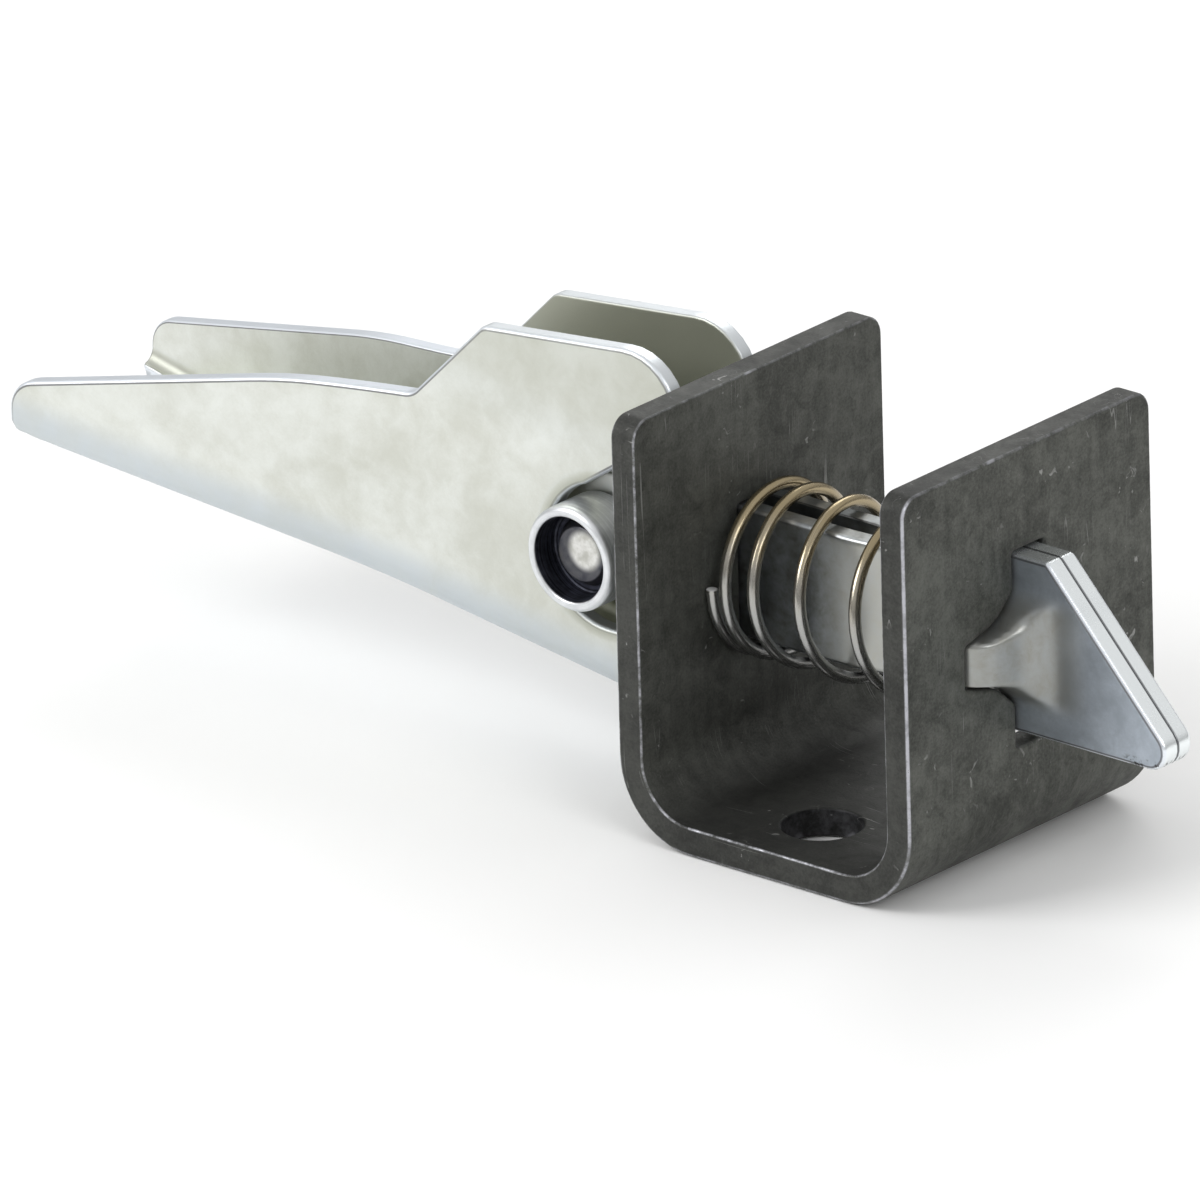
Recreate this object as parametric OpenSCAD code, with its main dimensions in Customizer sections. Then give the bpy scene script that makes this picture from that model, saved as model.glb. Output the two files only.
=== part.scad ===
// Tipper latch: a spring bolt with a bevelled nose, carried in a bent channel bracket
// and drawn back by a folded lever handle whose upper shoulder rolls on the rear leg.
// Millimetres. The origin is midway between the two mounting holes, on the underside
// of the bracket. +X points out of the nose, +Z is up, and the far side is +Y.

/* [Bracket] */
// Width of the bracket across the latch
bracket_w = 60; // [54:0.5:80]
// Length of the bracket over both legs
bracket_l = 59.3; // [56:0.1:75]
// Height of the legs above the underside
bracket_h = 70.2; // [64:0.1:90]
// Thickness of the bracket plate
plate_t = 4.8; // [3:0.1:6]
// Inside radius of the two bends
bend_r = 9; // [5:0.1:10]
// Corner radius at the top of the legs
leg_corner_r = 3.5; // [1:0.1:8]
// Height of the bolt's centre line above the underside
axis_z = 37.6; // [36:0.1:42]
// Diameter of the two mounting holes
mount_hole_d = 13; // [8:0.1:14]
// Distance between the mounting holes
mount_pitch = 32.4; // [26:0.1:36]

/* [Latch bolt] */
// Thickness of each of the two plies
ply_t = 3.4; // [3:0.1:4]
// Height of the bar behind the nose
bar_h = 22; // [18:0.1:22.4]
// Height of the nose
nose_h = 29.8; // [26:0.1:32]
// Depth of the nose's lower edge below the centre line
nose_drop = 14.4; // [12:0.1:16]
// Reach of the nose in front of the bracket
nose_out = 29.5; // [26:0.1:36]
// Angle of the bevel to the lower edge
bevel_angle = 47.5; // [44:0.5:54]
// Radius of the nose's tip
tip_r = 3.4; // [1:0.1:5]
// Radius of the other corners of the nose
nose_corner_r = 1.4; // [0.5:0.1:3]
// Gap between the plies where they spread at the pivot
fork_gap = 3.6; // [2:0.1:4]
// Length of the parallel fork in front of the rear leg
fork_run = 20; // [12:0.5:24]
// Length over which the plies close up to each other
fork_close = 19; // [12:0.5:20]
// Distance of the pivot behind the bracket
pivot_out = 22.8; // [20:0.1:26]
// Depth of the pivot below the bolt's centre line
pivot_drop = 1.6; // [0:0.1:2]

/* [Ears] */
// Sideways step of each ear from its ply
ear_step = 11.8; // [11:0.1:12.5]
// Angle of the ear's ramp to the ply
ear_angle = 75; // [68:1:80]
// Inside radius of the ear's bends
ear_bend_r = 2; // [1.5:0.1:2.4]
// Height of the ear where it leaves the ply
ear_root_h = 18; // [14:0.1:19]
// Height of the ear at its free end
ear_end_h = 6.4; // [5:0.1:10]
// Distance of the ear's neck from its ply
ear_neck_out = 4.6; // [3:0.1:6]
// Height of the neck, from 0 as at the free end to 1 as at the root
ear_neck = 0.31; // [0.1:0.01:0.45]
// Fillet at the neck
ear_neck_r = 8; // [1:0.1:9]
// Straight length at the ear's free end
ear_flat = 1; // [0.5:0.1:3]

/* [Spring] */
// Diameter of the wire
wire_d = 2; // [1.5:0.1:2.2]
// Inside diameter of the coil
spring_inner_d = 25.2; // [24.8:0.1:26.2]
// Number of turns
spring_turns = 7; // [5:0.5:8]
// How far the end turns close up, from 0 for an even pitch
end_closing = 0.68; // [0.4:0.01:0.7]

/* [Handle] */
// Thickness of the handle's sheet
sheet_t = 3; // [2:0.1:3.2]
// Width over the parallel cheeks at the pivot
handle_w = 20.6; // [20:0.1:24]
// Width over the flared cheeks at the tip
tip_w = 37; // [28:0.5:44]
// Length from the pivot to the tip
handle_len = 113.2; // [95:0.1:150]
// Distance behind the pivot where the cheeks start to flare
flare_start = 45; // [36:0.1:60]
// How far the web stops short of the tip
web_setback = 6; // [3:0.1:12]
// Inside radius of the bends along the web
web_bend_r = 2; // [1:0.1:4]
// Height of the cheek at the tip
tip_h = 9.3; // [7:0.1:14]
// Height of the tip's lower edge under the pivot
tip_drop = 5.4; // [3:0.1:8]
// Distance behind the pivot where the grip's top edge bends
grip_mid = 60.4; // [54:0.1:70]
// Height of the grip's top edge over the pivot, at that bend
grip_mid_z = 15.3; // [14:0.1:16.5]
// Height of the grip's top edge over the pivot, at the foot of the ramp
grip_end_z = 17.7; // [16:0.1:20]
// Distance of the ramp's foot behind the pivot
ramp_foot = 35.4; // [30:0.1:40]
// Fillet at the ramp's foot
ramp_foot_r = 4; // [1:0.1:8]
// Distance of the ramp's top behind the pivot
ramp_top = 20.4; // [18:0.1:24]
// Rounding at the ramp's top
ramp_top_r = 3; // [1:0.1:6]
// Height of the shoulder over the pivot, at the ramp
shoulder_back_z = 33.2; // [30:0.1:34]
// Height of the shoulder over the pivot, at the bracket
shoulder_z = 37.2; // [35:0.1:38]
// Radius of the shoulder that rolls on the rear leg
cam_r = 10; // [6:0.1:12]
// Straight edge under the rolling shoulder
lip_flat = 3; // [2.5:0.1:5]
// Gap between the shoulder and the rear leg at rest
cam_gap = 3.3; // [3:0.1:6]
// Depth of the heel under the pivot
heel_drop = 25.4; // [22:0.1:26]
// Rounding of the heel and of the mouth's lips
heel_r = 1.2; // [0.5:0.1:1.5]

/* [Pivot] */
// Outside diameter of the bushes
bush_d = 17.4; // [16:0.1:18]
// How far a bush stands proud of its cheek
bush_proud = 4.3; // [3:0.1:6]
// Rounding of the bush's rim
rim_r = 0.8; // [0.3:0.1:0.8]
// Diameter of the recess that hides the rivet's head
recess_d = 14; // [13:0.1:14.4]
// Depth of the recess
recess_depth = 5; // [3:0.1:6]
// Diameter of the rivet's shank
rivet_d = 9; // [7:0.1:9.4]
// Diameter of the rivet's heads
head_d = 11.6; // [11:0.1:12]
// Thickness of the rivet's heads
head_t = 1.9; // [1:0.1:2.5]
// Radius of the round mouth in the cheeks
mouth_r = 12; // [11:0.1:12.5]
// Offset of the mouth from the pivot
mouth_shift = 4; // [3:0.1:5]

/* [Fits] */
// Clearance round the bolt in the bracket's slots
slot_clear = 0.4; // [0.3:0.05:1]
// Play under the nose in its slot
nose_play = 2.5; // [1:0.1:4]
// Running clearance of the rivet in the bushes, on the radius
running_clear = 0.05; // [0.02:0.01:0.1]
// Gap between parts that pass or bear lightly on each other
pass_gap = 0.3; // [0.1:0.05:0.5]

/* [Hidden] */
$fn = 64;

MILL_SCALE = "#4b4a44";
ZINC = "#c3c7c2";
ZINC_BLUE = "#aab2ba";
SPRING_WIRE = "#8d8676";

// The bracket's faces along X, and the pivot behind it
front_x = bracket_l / 2;
rear_x = -bracket_l / 2;
front_inner = front_x - plate_t;
rear_inner = rear_x + plate_t;
pivot_x = rear_x - pivot_out;
pivot_z = axis_z - pivot_drop;

// The nose, as a wedge with a rounded vertex
nose_bottom = axis_z - nose_drop;
nose_top = nose_bottom + nose_h;
vertex_x = front_x + nose_out + tip_r * (1 / tan(bevel_angle / 2) - 1);
nose_back = front_inner + pass_gap;
bevel_top_x = vertex_x - nose_h / tan(bevel_angle);

// The plies: inner faces at fork_half behind the closing stretch, touching in front of it
fork_half = fork_gap / 2;
fork_out = fork_half + ply_t;
fork_x = rear_inner + fork_run;

// The ears: two equal bends with a straight ramp between them
ear_r = ear_bend_r + ply_t / 2;
ear_ramp = (ear_step - 2 * ear_r * (1 - cos(ear_angle))) / sin(ear_angle);
ear_run = 2 * ear_r * sin(ear_angle) + ear_ramp * cos(ear_angle);
ear_end_x = front_inner;
ear_root_x = ear_end_x + ear_flat + ear_run;
ear_blank = 2 * ear_r * ear_angle * PI / 180 + ear_ramp + ear_flat;
ear_out = ply_t + ear_step;
ear_neck_y = ply_t + ear_neck_out;
ear_neck_s = ear_r * ear_angle * PI / 180
    + (ear_neck_y - ply_t / 2 - ear_r * (1 - cos(ear_angle))) / sin(ear_angle);

// The spring lies between the legs
spring_r = (spring_inner_d + wire_d) / 2;
spring_x0 = rear_inner + wire_d / 2 + pass_gap / 2;
spring_x1 = front_inner - wire_d / 2 - pass_gap / 2;
turn_steps = 24;
wire_sides = 8;

// The handle's outline, measured from the pivot
cam_x = pivot_out - cam_gap;
heel_x = pivot_out - pass_gap;
tip_corner_r = 0.44 * tip_h;
lip_z = shoulder_z - cam_r - lip_flat;
throat_z = sqrt(mouth_r * mouth_r - mouth_shift * mouth_shift);
web_outer_r = web_bend_r + sheet_t;
web_slope = atan((heel_drop - tip_drop) / (heel_x + handle_len));
web_len = (heel_x + handle_len + tip_h) / cos(web_slope);
flare_x = -(heel_x + flare_start) / cos(web_slope);
flare_angle = atan((tip_w - handle_w) / 2 * cos(web_slope) / (handle_len - flare_start));
cheek_reach = 2 * shoulder_z;
bush_in = fork_out + pass_gap;
bush_out = handle_w / 2 + bush_proud;
recess_floor = bush_out - recess_depth;
past = 1;

function unit(v) = v / norm(v);
function ease(t) = t <= 0 ? 0 : t >= 1 ? 1 : t * t * (3 - 2 * t);
function arc(c, r, a0, a1, n = 8) =
    [for (i = [0:n]) c + r * [cos(a0 + (a1 - a0) * i / n), sin(a0 + (a1 - a0) * i / n)]];

// One rounded corner at b, between a and c
function corner(a, b, c, r, n = 8) =
    let (u = unit(a - b), v = unit(c - b), half = acos(u * v) / 2,
         m = b + unit(u + v) * r / sin(half),
         s = b + u * r / tan(half) - m, e = b + v * r / tan(half) - m,
         a0 = atan2(s.y, s.x), turn = atan2(s.x * e.y - s.y * e.x, s * e))
    arc(m, r, a0, a0 + turn, n);

// An outline from corners [x, y, radius]
function rounded(p) =
    let (n = len(p))
    [for (i = [0:n - 1])
        let (a = p[(i + n - 1) % n], b = p[i], c = p[(i + 1) % n])
        for (q = b.z > 0 ? corner([a.x, a.y], [b.x, b.y], [c.x, c.y], b.z) : [[b.x, b.y]]) q];

// Stands an outline drawn in X and Z upright, with its thickness along Y
module upright(thick) {
    rotate([90, 0, 0]) linear_extrude(height = thick, center = true) children();
}

// Stands an outline drawn in Y and Z upright, from x0 to x1
module across(x0, x1) {
    translate([x0, 0, 0]) rotate([90, 0, 90]) linear_extrude(height = x1 - x0) children();
}

// A channel section standing on z = 0, rounded at the bottom
module round_bottom(w, h, r) {
    translate([-w / 2, r]) square([w, h - r]);
    translate([-w / 2 + r, 0]) square([w - 2 * r, h]);
    for (side = [-1, 1]) translate([side * (w / 2 - r), r]) circle(r);
}

// An ear seen along the bolt, grown by a clearance: tall at its ply, necked, narrow at its free end
module ear_face(clear) {
    root = ear_root_h / 2 + clear;
    tip = ear_end_h / 2 + clear;
    neck = tip + ear_neck * (root - tip);
    half = [[0, root, 0], [ply_t + clear, root, 0], [ear_neck_y + clear / 2, neck, ear_neck_r],
            [ear_out + clear, tip, 2 * clear]];
    mirrored = [for (i = [len(half) - 1:-1:0]) [half[i].x, -half[i].y, half[i].z]];
    translate([0, axis_z]) polygon(rounded(concat(half, mirrored)));
}

// The opening in the front leg: a tall slot for the nose, crossed by a slot that follows the ears
module nose_slot() {
    half_w = ply_t + slot_clear;
    translate([-half_w, nose_bottom - nose_play]) square([2 * half_w, nose_h + nose_play + slot_clear]);
    for (side = [0, 1]) mirror([side, 0]) ear_face(slot_clear);
}

// The opening in the rear leg guides the forked bar
module bar_slot() {
    w = 2 * (fork_out + slot_clear);
    h = bar_h + 2 * slot_clear;
    translate([-w / 2, axis_z - h / 2]) square([w, h]);
}

module bracket() {
    color(MILL_SCALE) difference() {
        intersection() {
            upright(bracket_w) difference() {
                round_bottom(bracket_l, bracket_h, bend_r + plate_t);
                translate([0, plate_t]) round_bottom(bracket_l - 2 * plate_t, bracket_h, bend_r);
            }
            across(rear_x - past, front_x + past)
                translate([0, bracket_h]) mirror([0, 1]) round_bottom(bracket_w, bracket_h + past, leg_corner_r);
        }
        across(front_inner - past, front_x + past) nose_slot();
        across(rear_x - past, rear_inner + past) bar_slot();
        for (side = [-1, 1]) translate([0, side * mount_pitch / 2, -past])
            cylinder(h = plate_t + 2 * past, d = mount_hole_d);
    }
}

// Side view of a ply: bevelled nose, bar and rounded fork end
module ply_side() {
    polygon(rounded([[nose_back, nose_bottom, nose_corner_r], [vertex_x, nose_bottom, tip_r],
                     [bevel_top_x, nose_top, nose_corner_r], [nose_back, nose_top, nose_corner_r]]));
    translate([pivot_x, axis_z - bar_h / 2]) square([nose_back + past - pivot_x + nose_corner_r, bar_h]);
    translate([pivot_x, axis_z]) circle(d = bar_h);
}

// Plan view of the far ply: the nose touches the middle plane, the fork stands off it
module ply_plan() {
    steps = 12;
    inner = [for (i = [0:steps]) [fork_x + fork_close * i / steps, fork_half * (1 - ease(i / steps))]];
    line = concat([[pivot_x - bar_h, fork_half]], inner, [[vertex_x, 0]]);
    polygon(concat(line, [for (i = [len(line) - 1:-1:0]) line[i] + [0, ply_t]]));
}

// Plan view of the far ear: it leaves the ply, ramps outwards and turns back
module ear_plan() {
    c1 = [ear_root_x, ply_t / 2 + ear_r];
    c2 = [ear_end_x + ear_flat, ply_t / 2 + ear_step - ear_r];
    near = ear_r - ply_t / 2;
    far = ear_r + ply_t / 2;
    polygon(concat([[ear_root_x + past, ply_t]], arc(c1, near, -90, -90 - ear_angle),
                   arc(c2, far, 90 - ear_angle, 90), [[ear_end_x, ear_out], [ear_end_x, ear_out - ply_t]],
                   arc(c2, near, 90, 90 - ear_angle), arc(c1, far, -90 - ear_angle, -90),
                   [[ear_root_x + past, 0]]));
}

// The window that the ear was lanced from
module ear_window() {
    root = ear_root_h / 2;
    tip = ear_end_h / 2;
    neck = tip + ear_neck * (root - tip);
    neck_x = ear_root_x - ear_neck_s;
    end_x = ear_root_x - ear_blank;
    translate([0, axis_z]) polygon([[ear_root_x, root], [neck_x, neck], [end_x, tip],
                                    [end_x, -tip], [neck_x, -neck], [ear_root_x, -root]]);
}

module far_ply() {
    difference() {
        intersection() {
            upright(4 * ear_out) ply_side();
            translate([0, 0, nose_bottom - past]) linear_extrude(height = nose_h + 2 * past) ply_plan();
        }
        upright(4 * ear_out) ear_window();
        translate([pivot_x, 0, pivot_z]) rotate([-90, 0, 0]) cylinder(h = 2 * fork_out, d = rivet_d);
    }
    intersection() {
        translate([0, 0, nose_bottom]) linear_extrude(height = nose_h) ear_plan();
        across(ear_end_x, ear_root_x + past) ear_face(0);
    }
}

module latch_plate_far() {
    color(ZINC_BLUE) far_ply();
}

module latch_plate_near() {
    color(ZINC_BLUE) mirror([0, 1, 0]) far_ply();
}

// A right-hand coil that starts on the near side and closes up towards both ends
function coil_x(u) = spring_x0 + (spring_x1 - spring_x0) * (u - end_closing * sin(360 * u) / (2 * PI));

module return_spring() {
    rings = ceil(spring_turns * turn_steps);
    points = [for (i = [0:rings], k = [0:wire_sides - 1])
        let (u = i / rings, a = 180 + 360 * spring_turns * u, b = 360 * k / wire_sides,
             r = spring_r + wire_d / 2 * cos(b))
        [coil_x(u) + wire_d / 2 * sin(b), r * cos(a), axis_z + r * sin(a)]];
    sides = [for (i = [0:rings - 1], k = [0:wire_sides - 1])
        let (p = i * wire_sides, j = (k + 1) % wire_sides)
        [p + k, p + j, p + wire_sides + j, p + wire_sides + k]];
    first = [for (k = [wire_sides - 1:-1:0]) k];
    last = [for (k = [0:wire_sides - 1]) rings * wire_sides + k];
    color(SPRING_WIRE) polyhedron(points, concat([first, last], sides), convexity = 10);
}

// Side view of a cheek: grip, ramp, rolling shoulder, mouth for the bush and heel
module cheek_side() {
    difference() {
        polygon(rounded([
            [-handle_len, -tip_drop, tip_corner_r],
            [-handle_len, tip_h - tip_drop, tip_corner_r],
            [-grip_mid, grip_mid_z, handle_len],
            [-ramp_foot, grip_end_z, ramp_foot_r],
            [-ramp_top, shoulder_back_z, ramp_top_r],
            [cam_x, shoulder_z, cam_r],
            [cam_x, lip_z, heel_r],
            [0, throat_z, 0],
            [mouth_shift, 0, 0],
            [mouth_shift, -mouth_r, 0],
            [heel_x, -mouth_r, heel_r],
            [heel_x, -heel_drop, heel_r]]));
        translate([mouth_shift, 0]) circle(mouth_r);
        circle(d = bush_d);
    }
}

// Half of the channel's section: the lower corner is rounded, and it reaches far past the middle
module half_section(inset) {
    edge = handle_w / 2 - inset;
    r = web_outer_r - inset;
    translate([-tip_w, inset + r]) square([tip_w + edge, cheek_reach]);
    translate([-tip_w, inset]) square([tip_w + edge - r, cheek_reach]);
    translate([edge - r, inset + r]) circle(r);
}

// The channel's web leans up towards the tip, and each cheek turns outwards at the bend line.
// An inset of the sheet's thickness gives the inside.
module channel(inset) {
    translate([heel_x, 0, -heel_drop]) rotate([0, web_slope, 0]) intersection_for (side = [0, 1])
        mirror([0, side, 0]) {
            across(-web_len, past) half_section(inset);
            translate([flare_x, handle_w / 2 - inset, 0]) rotate([0, 0, -flare_angle])
                translate([0, inset - handle_w / 2, 0]) across(-web_len, web_len) half_section(inset);
        }
}

// The notch that sets the web back from the tip, between the bends
module web_notch() {
    half = tip_w / 2 - sheet_t - web_bend_r;
    flare = (tip_w - handle_w) / 2 / (handle_len - flare_start);
    end = half - web_setback * flare;
    notch_x = web_setback - handle_len;
    translate([0, 0, -heel_drop]) linear_extrude(height = heel_drop + tip_h)
        polygon([[-handle_len - past, -half], [notch_x, -end], [notch_x, end], [-handle_len - past, half]]);
}

module lift_handle() {
    color(ZINC) translate([pivot_x, 0, pivot_z]) difference() {
        intersection() {
            channel(0);
            upright(2 * tip_w) cheek_side();
        }
        channel(sheet_t);
        web_notch();
    }
}

// A bush with a rounded rim and a recess for the rivet's head
module bush() {
    rim = bush_out - rim_r;
    translate([pivot_x, 0, pivot_z]) rotate([-90, 0, 0]) rotate_extrude() difference() {
        union() {
            translate([0, bush_in]) square([bush_d / 2, rim - bush_in]);
            translate([0, rim - past]) square([bush_d / 2 - rim_r, rim_r + past]);
            translate([bush_d / 2 - rim_r, rim]) circle(rim_r);
        }
        translate([0, bush_in - past]) square([rivet_d / 2 + running_clear, bush_out]);
        translate([0, recess_floor]) square([recess_d / 2, recess_depth + past]);
    }
}

module pivot_bush_far() {
    color(ZINC) bush();
}

module pivot_bush_near() {
    color(ZINC) mirror([0, 1, 0]) bush();
}

// The rivet: a shank through both plies, headed in the bushes' recesses
module pivot_rivet() {
    half = recess_floor + pass_gap / 2;
    color(ZINC) translate([pivot_x, 0, pivot_z]) rotate([-90, 0, 0]) {
        translate([0, 0, -half]) cylinder(h = 2 * half, d = rivet_d);
        for (side = [0, 1]) mirror([0, 0, side]) translate([0, 0, half])
            cylinder(h = head_t, d1 = head_d, d2 = rivet_d);
    }
}

bracket();
latch_plate_near();
latch_plate_far();
return_spring();
lift_handle();
pivot_bush_near();
pivot_bush_far();
pivot_rivet();
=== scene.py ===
# %% [markdown]
# # A tipper latch, from flat blanks to a finished render
#
# A tipper latch holds the gate of a tipping trailer shut. A spring pushes a bolt with a
# bevelled nose out of a bent bracket, and lifting a lever handle draws the bolt back.
# Nearly all of it is sheet metal: the bracket, the two plies of the bolt and the handle
# are each cut flat, rounded a little at the edges by the cutting, and then folded. The
# lesson makes them the same way, in three moves: draw the flat blank, give it thickness
# with rounded edges, and fold it with a function.
#
# The packed CAD model comes in first. It is the fixed frame that says where everything is.

# %% Load the frame
import math

import bpy
import numpy as np
from mathutils import Matrix, Vector
from mathutils.geometry import delaunay_2d_cdt


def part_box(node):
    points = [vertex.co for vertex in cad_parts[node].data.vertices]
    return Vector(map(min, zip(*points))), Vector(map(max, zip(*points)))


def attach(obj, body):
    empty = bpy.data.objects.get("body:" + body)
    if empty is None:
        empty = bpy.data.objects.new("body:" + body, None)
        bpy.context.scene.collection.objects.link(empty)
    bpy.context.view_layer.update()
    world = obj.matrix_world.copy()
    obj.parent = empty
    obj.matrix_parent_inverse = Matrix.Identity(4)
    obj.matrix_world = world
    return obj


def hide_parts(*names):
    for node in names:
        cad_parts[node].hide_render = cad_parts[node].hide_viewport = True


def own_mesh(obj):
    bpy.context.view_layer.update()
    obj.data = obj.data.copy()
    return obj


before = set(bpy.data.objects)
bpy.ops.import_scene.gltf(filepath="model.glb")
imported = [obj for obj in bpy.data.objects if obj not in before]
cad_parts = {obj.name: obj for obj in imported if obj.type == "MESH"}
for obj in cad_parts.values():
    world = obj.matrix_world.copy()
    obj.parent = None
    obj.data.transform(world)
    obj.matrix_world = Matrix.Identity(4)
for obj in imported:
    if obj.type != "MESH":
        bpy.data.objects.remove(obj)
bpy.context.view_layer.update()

MM = 0.001

# %% [markdown]
# ## Sizes
#
# The drawing's sizes are in millimetres, because sheet metal is. The frame has the origin
# between the two mounting holes, X along the bolt and out of the nose, Y to the far side
# and Z up. What a CAD node's box can tell is measured from it, and the rest are the
# drawing's own numbers. The bracket's box and what several pieces share come first.

# %% Shared sizes
bracket_low, bracket_high = (np.array(c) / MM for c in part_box("bracket"))
LEG_X, HALF_W, LEG_TOP = bracket_high     # front leg's outer face, half the width, the top
PLATE = 4.8                               # bracket plate
AXIS_Z = 37.6                             # the bolt's centre line
PIVOT = np.array([-52.45, 0.0, 36.0])     # where the handle turns on the bolt
print("bracket:", np.round(bracket_high - bracket_low, 1))

# %% [markdown]
# ## Outlines from corners
#
# A blank starts as a closed outline. It could be drawn as a curve and converted, but
# drawings give an outline as corners with radii, so the first helper turns just that into
# points. A rectangle and a circle are the other two outlines that this latch needs.

# %% Corners and circles
def unit(vectors):
    """Each row at length 1."""
    return vectors / np.linalg.norm(vectors, axis=1)[:, None]


def rounded(corners, steps=8):
    """Points of an outline from corners (x, y, radius)."""
    points = []
    for i, (x, y, r) in enumerate(corners):
        here = np.array([x, y], float)
        if r == 0:
            points.append(here)
            continue
        u = np.array(corners[i - 1][:2]) - here
        v = np.array(corners[(i + 1) % len(corners)][:2]) - here
        u, v = u / np.linalg.norm(u), v / np.linalg.norm(v)
        half = math.acos(np.clip(u @ v, -1, 1)) / 2
        centre = here + (u + v) / np.linalg.norm(u + v) * r / math.sin(half)
        s, e = (here + w * r / math.tan(half) - centre for w in (u, v))
        start = math.atan2(s[1], s[0])
        turn = math.atan2(s[0] * e[1] - s[1] * e[0], s @ e)
        points += [centre + r * np.array([math.cos(a), math.sin(a)])
                   for a in np.linspace(start, start + turn, steps + 1)]
    return np.array(points)


def rectangle(x0, y0, x1, y1, r):
    """Points of a rectangle with rounded corners."""
    return rounded([(x0, y0, r), (x1, y0, r), (x1, y1, r), (x0, y1, r)])


def ring(x, y, r, steps=48):
    """Points of a circle."""
    a = np.linspace(0, 2 * np.pi, steps, endpoint=False)
    return np.column_stack([x + r * np.cos(a), y + r * np.sin(a)])


print("points of a rectangle with round corners:", len(rectangle(0, 0, 9, 6, 1)))

# %% [markdown]
# ## Outlines that can bend
#
# A straight edge has only its two ends, so it couldn't follow a bend. The next helpers add
# points along the edges and inside the sheet, turn an outline the right way round, tell
# which way is off the sheet at each point, and tell what lies on the sheet. Blender's
# Subdivide could add points too, but everywhere, also where the sheet stays flat.

# %% Edges and insides
def finer(loop, step):
    """The same outline, its long edges cut into pieces a little longer than step."""
    points = []
    for a, b in zip(loop, np.roll(loop, -1, axis=0)):
        length = np.linalg.norm(b - a)
        if length > 1e-6:
            cuts = max(1, int(length // step))
            points += [a + (b - a) * t for t in np.linspace(0, 1, cuts, endpoint=False)]
    return np.array(points)


def grid(xs, ys):
    """Points at each crossing of the given lines."""
    return [(x, y) for x in xs for y in ys]


def wound(loop, sign):
    """The outline wound anticlockwise for sign 1, clockwise for -1."""
    x, y = loop.T
    area = x @ np.roll(y, -1) - y @ np.roll(x, -1)
    return loop if area * sign > 0 else loop[::-1]


def off_sheet(loop):
    """At each point, the way off the sheet: moving along it by 1 moves both edges by 1."""
    edge = np.roll(loop, -1, axis=0) - loop
    after = unit(np.column_stack([edge[:, 1], -edge[:, 0]]))
    before = np.roll(after, 1, axis=0)
    return (before + after) / (1 + np.sum(before * after, axis=1))[:, None]


def within(points, loops):
    """Which points lie inside an odd number of the loops: on the sheet and in no hole."""
    odd = np.zeros(len(points), bool)
    x, y = points.T
    for loop in loops:
        for (x0, y0), (x1, y1) in zip(loop, np.roll(loop, -1, axis=0)):
            if y0 != y1:
                spans = (y0 > y) != (y1 > y)
                odd ^= spans & (x < x0 + (y - y0) * (x1 - x0) / (y1 - y0))
    return odd


print("points of a circle cut to 1 mm:", len(finer(ring(0, 0, 20), 1)))

# %% [markdown]
# ## The side of a sheet
#
# A punched edge is never sharp: the punch drags the metal down on one face and leaves a
# smaller break on the other. A Bevel modifier rounds both faces alike unless each edge gets
# a weight, so the side of the blank is made as a stack of rings instead, with a quarter
# round at each face that has its own radius.
#
# Two attributes stay on the points for the materials: where the point was on the blank,
# and its place on the edge, from 0 on the flat faces to 1 on the cut side. Holes weigh
# less there, because nothing rubs them.

# %% Mesh pieces and rims
RIM_STEPS = 4
HOLE_EDGE = 0.3         # what the wall of a hole counts as an edge


def mesh_piece(name, points, faces, normals, blank, edge):
    """A mesh object from points in mm, with its normals and the two attributes."""
    mesh = bpy.data.meshes.new(name)
    mesh.from_pydata((points * MM).tolist(), [], faces)
    mesh.shade_smooth()
    mesh.normals_split_custom_set_from_vertices(normals.tolist())
    place = mesh.attributes.new("blank", "FLOAT_VECTOR", "POINT")
    place.data.foreach_set("vector", np.ravel(blank))
    mesh.attributes.new("edge", "FLOAT", "POINT").data.foreach_set("value", edge)
    piece = bpy.data.objects.new(name, mesh)
    bpy.context.scene.collection.objects.link(piece)
    print(f"{name}: {len(points)} points, {len(faces)} faces")
    return piece


def rim_profile(faces_at, rims):
    """The side in section, face to face: (inset from the outline, height, tilt of the normal)."""
    profile = []
    for at, r, sign in ((faces_at[0], rims[0], -1), (faces_at[1], rims[1], 1)):
        quarter = [(r * (1 - math.cos(a)), at - sign * r * (1 - math.sin(a)), sign * a)
                   for a in np.linspace(0, math.pi / 2, RIM_STEPS + 1)]
        profile += quarter[::sign]
    return profile


def side_rings(loops, profile):
    """Points, normals, edge mask and faces of the cut sides, and the loops at the two faces."""
    points, normals, edge, faces, borders = [], [], [], [], ([], [])
    for loop in loops:
        n, out = len(loop), off_sheet(loop)
        weight = 1 if loop is loops[0] else HOLE_EDGE
        for j, (inset, height, tilt) in enumerate(profile):
            first = len(points)
            points += [(x, y, height) for x, y in loop - inset * out]
            normals += [(x * math.cos(tilt), y * math.cos(tilt), math.sin(tilt))
                        for x, y in unit(out)]
            edge += [weight * math.cos(tilt)] * n
            if j:
                faces += [(first - n + i, first - n + (i + 1) % n, first + (i + 1) % n, first + i)
                          for i in range(n)]
            if j in (0, len(profile) - 1):
                borders[j > 0].append(range(first, first + n))
    return points, normals, edge, faces, borders


print("rings up the side of a sheet:", len(rim_profile((0, 1), (0.2, 0.3))))

# %% [markdown]
# ## From a blank to a folded plate
#
# The two faces are filled with triangles, which also use a few inner points where the
# sheet will bend. Folding is then one function from the flat blank to its place. A Simple
# Deform modifier bends too, but only about one straight line and not to a drawn size. The
# same function, tried a tiny step away in each direction, tells how the surface normals
# turn, so the flats stay perfectly flat to the light and the bends perfectly round.

# %% Plates
SLIVER = 2e-5           # twice the area in mm2 below which a triangle is left out
CLEAR = 0.4             # inner points keep this share of a step from the rims


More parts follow.
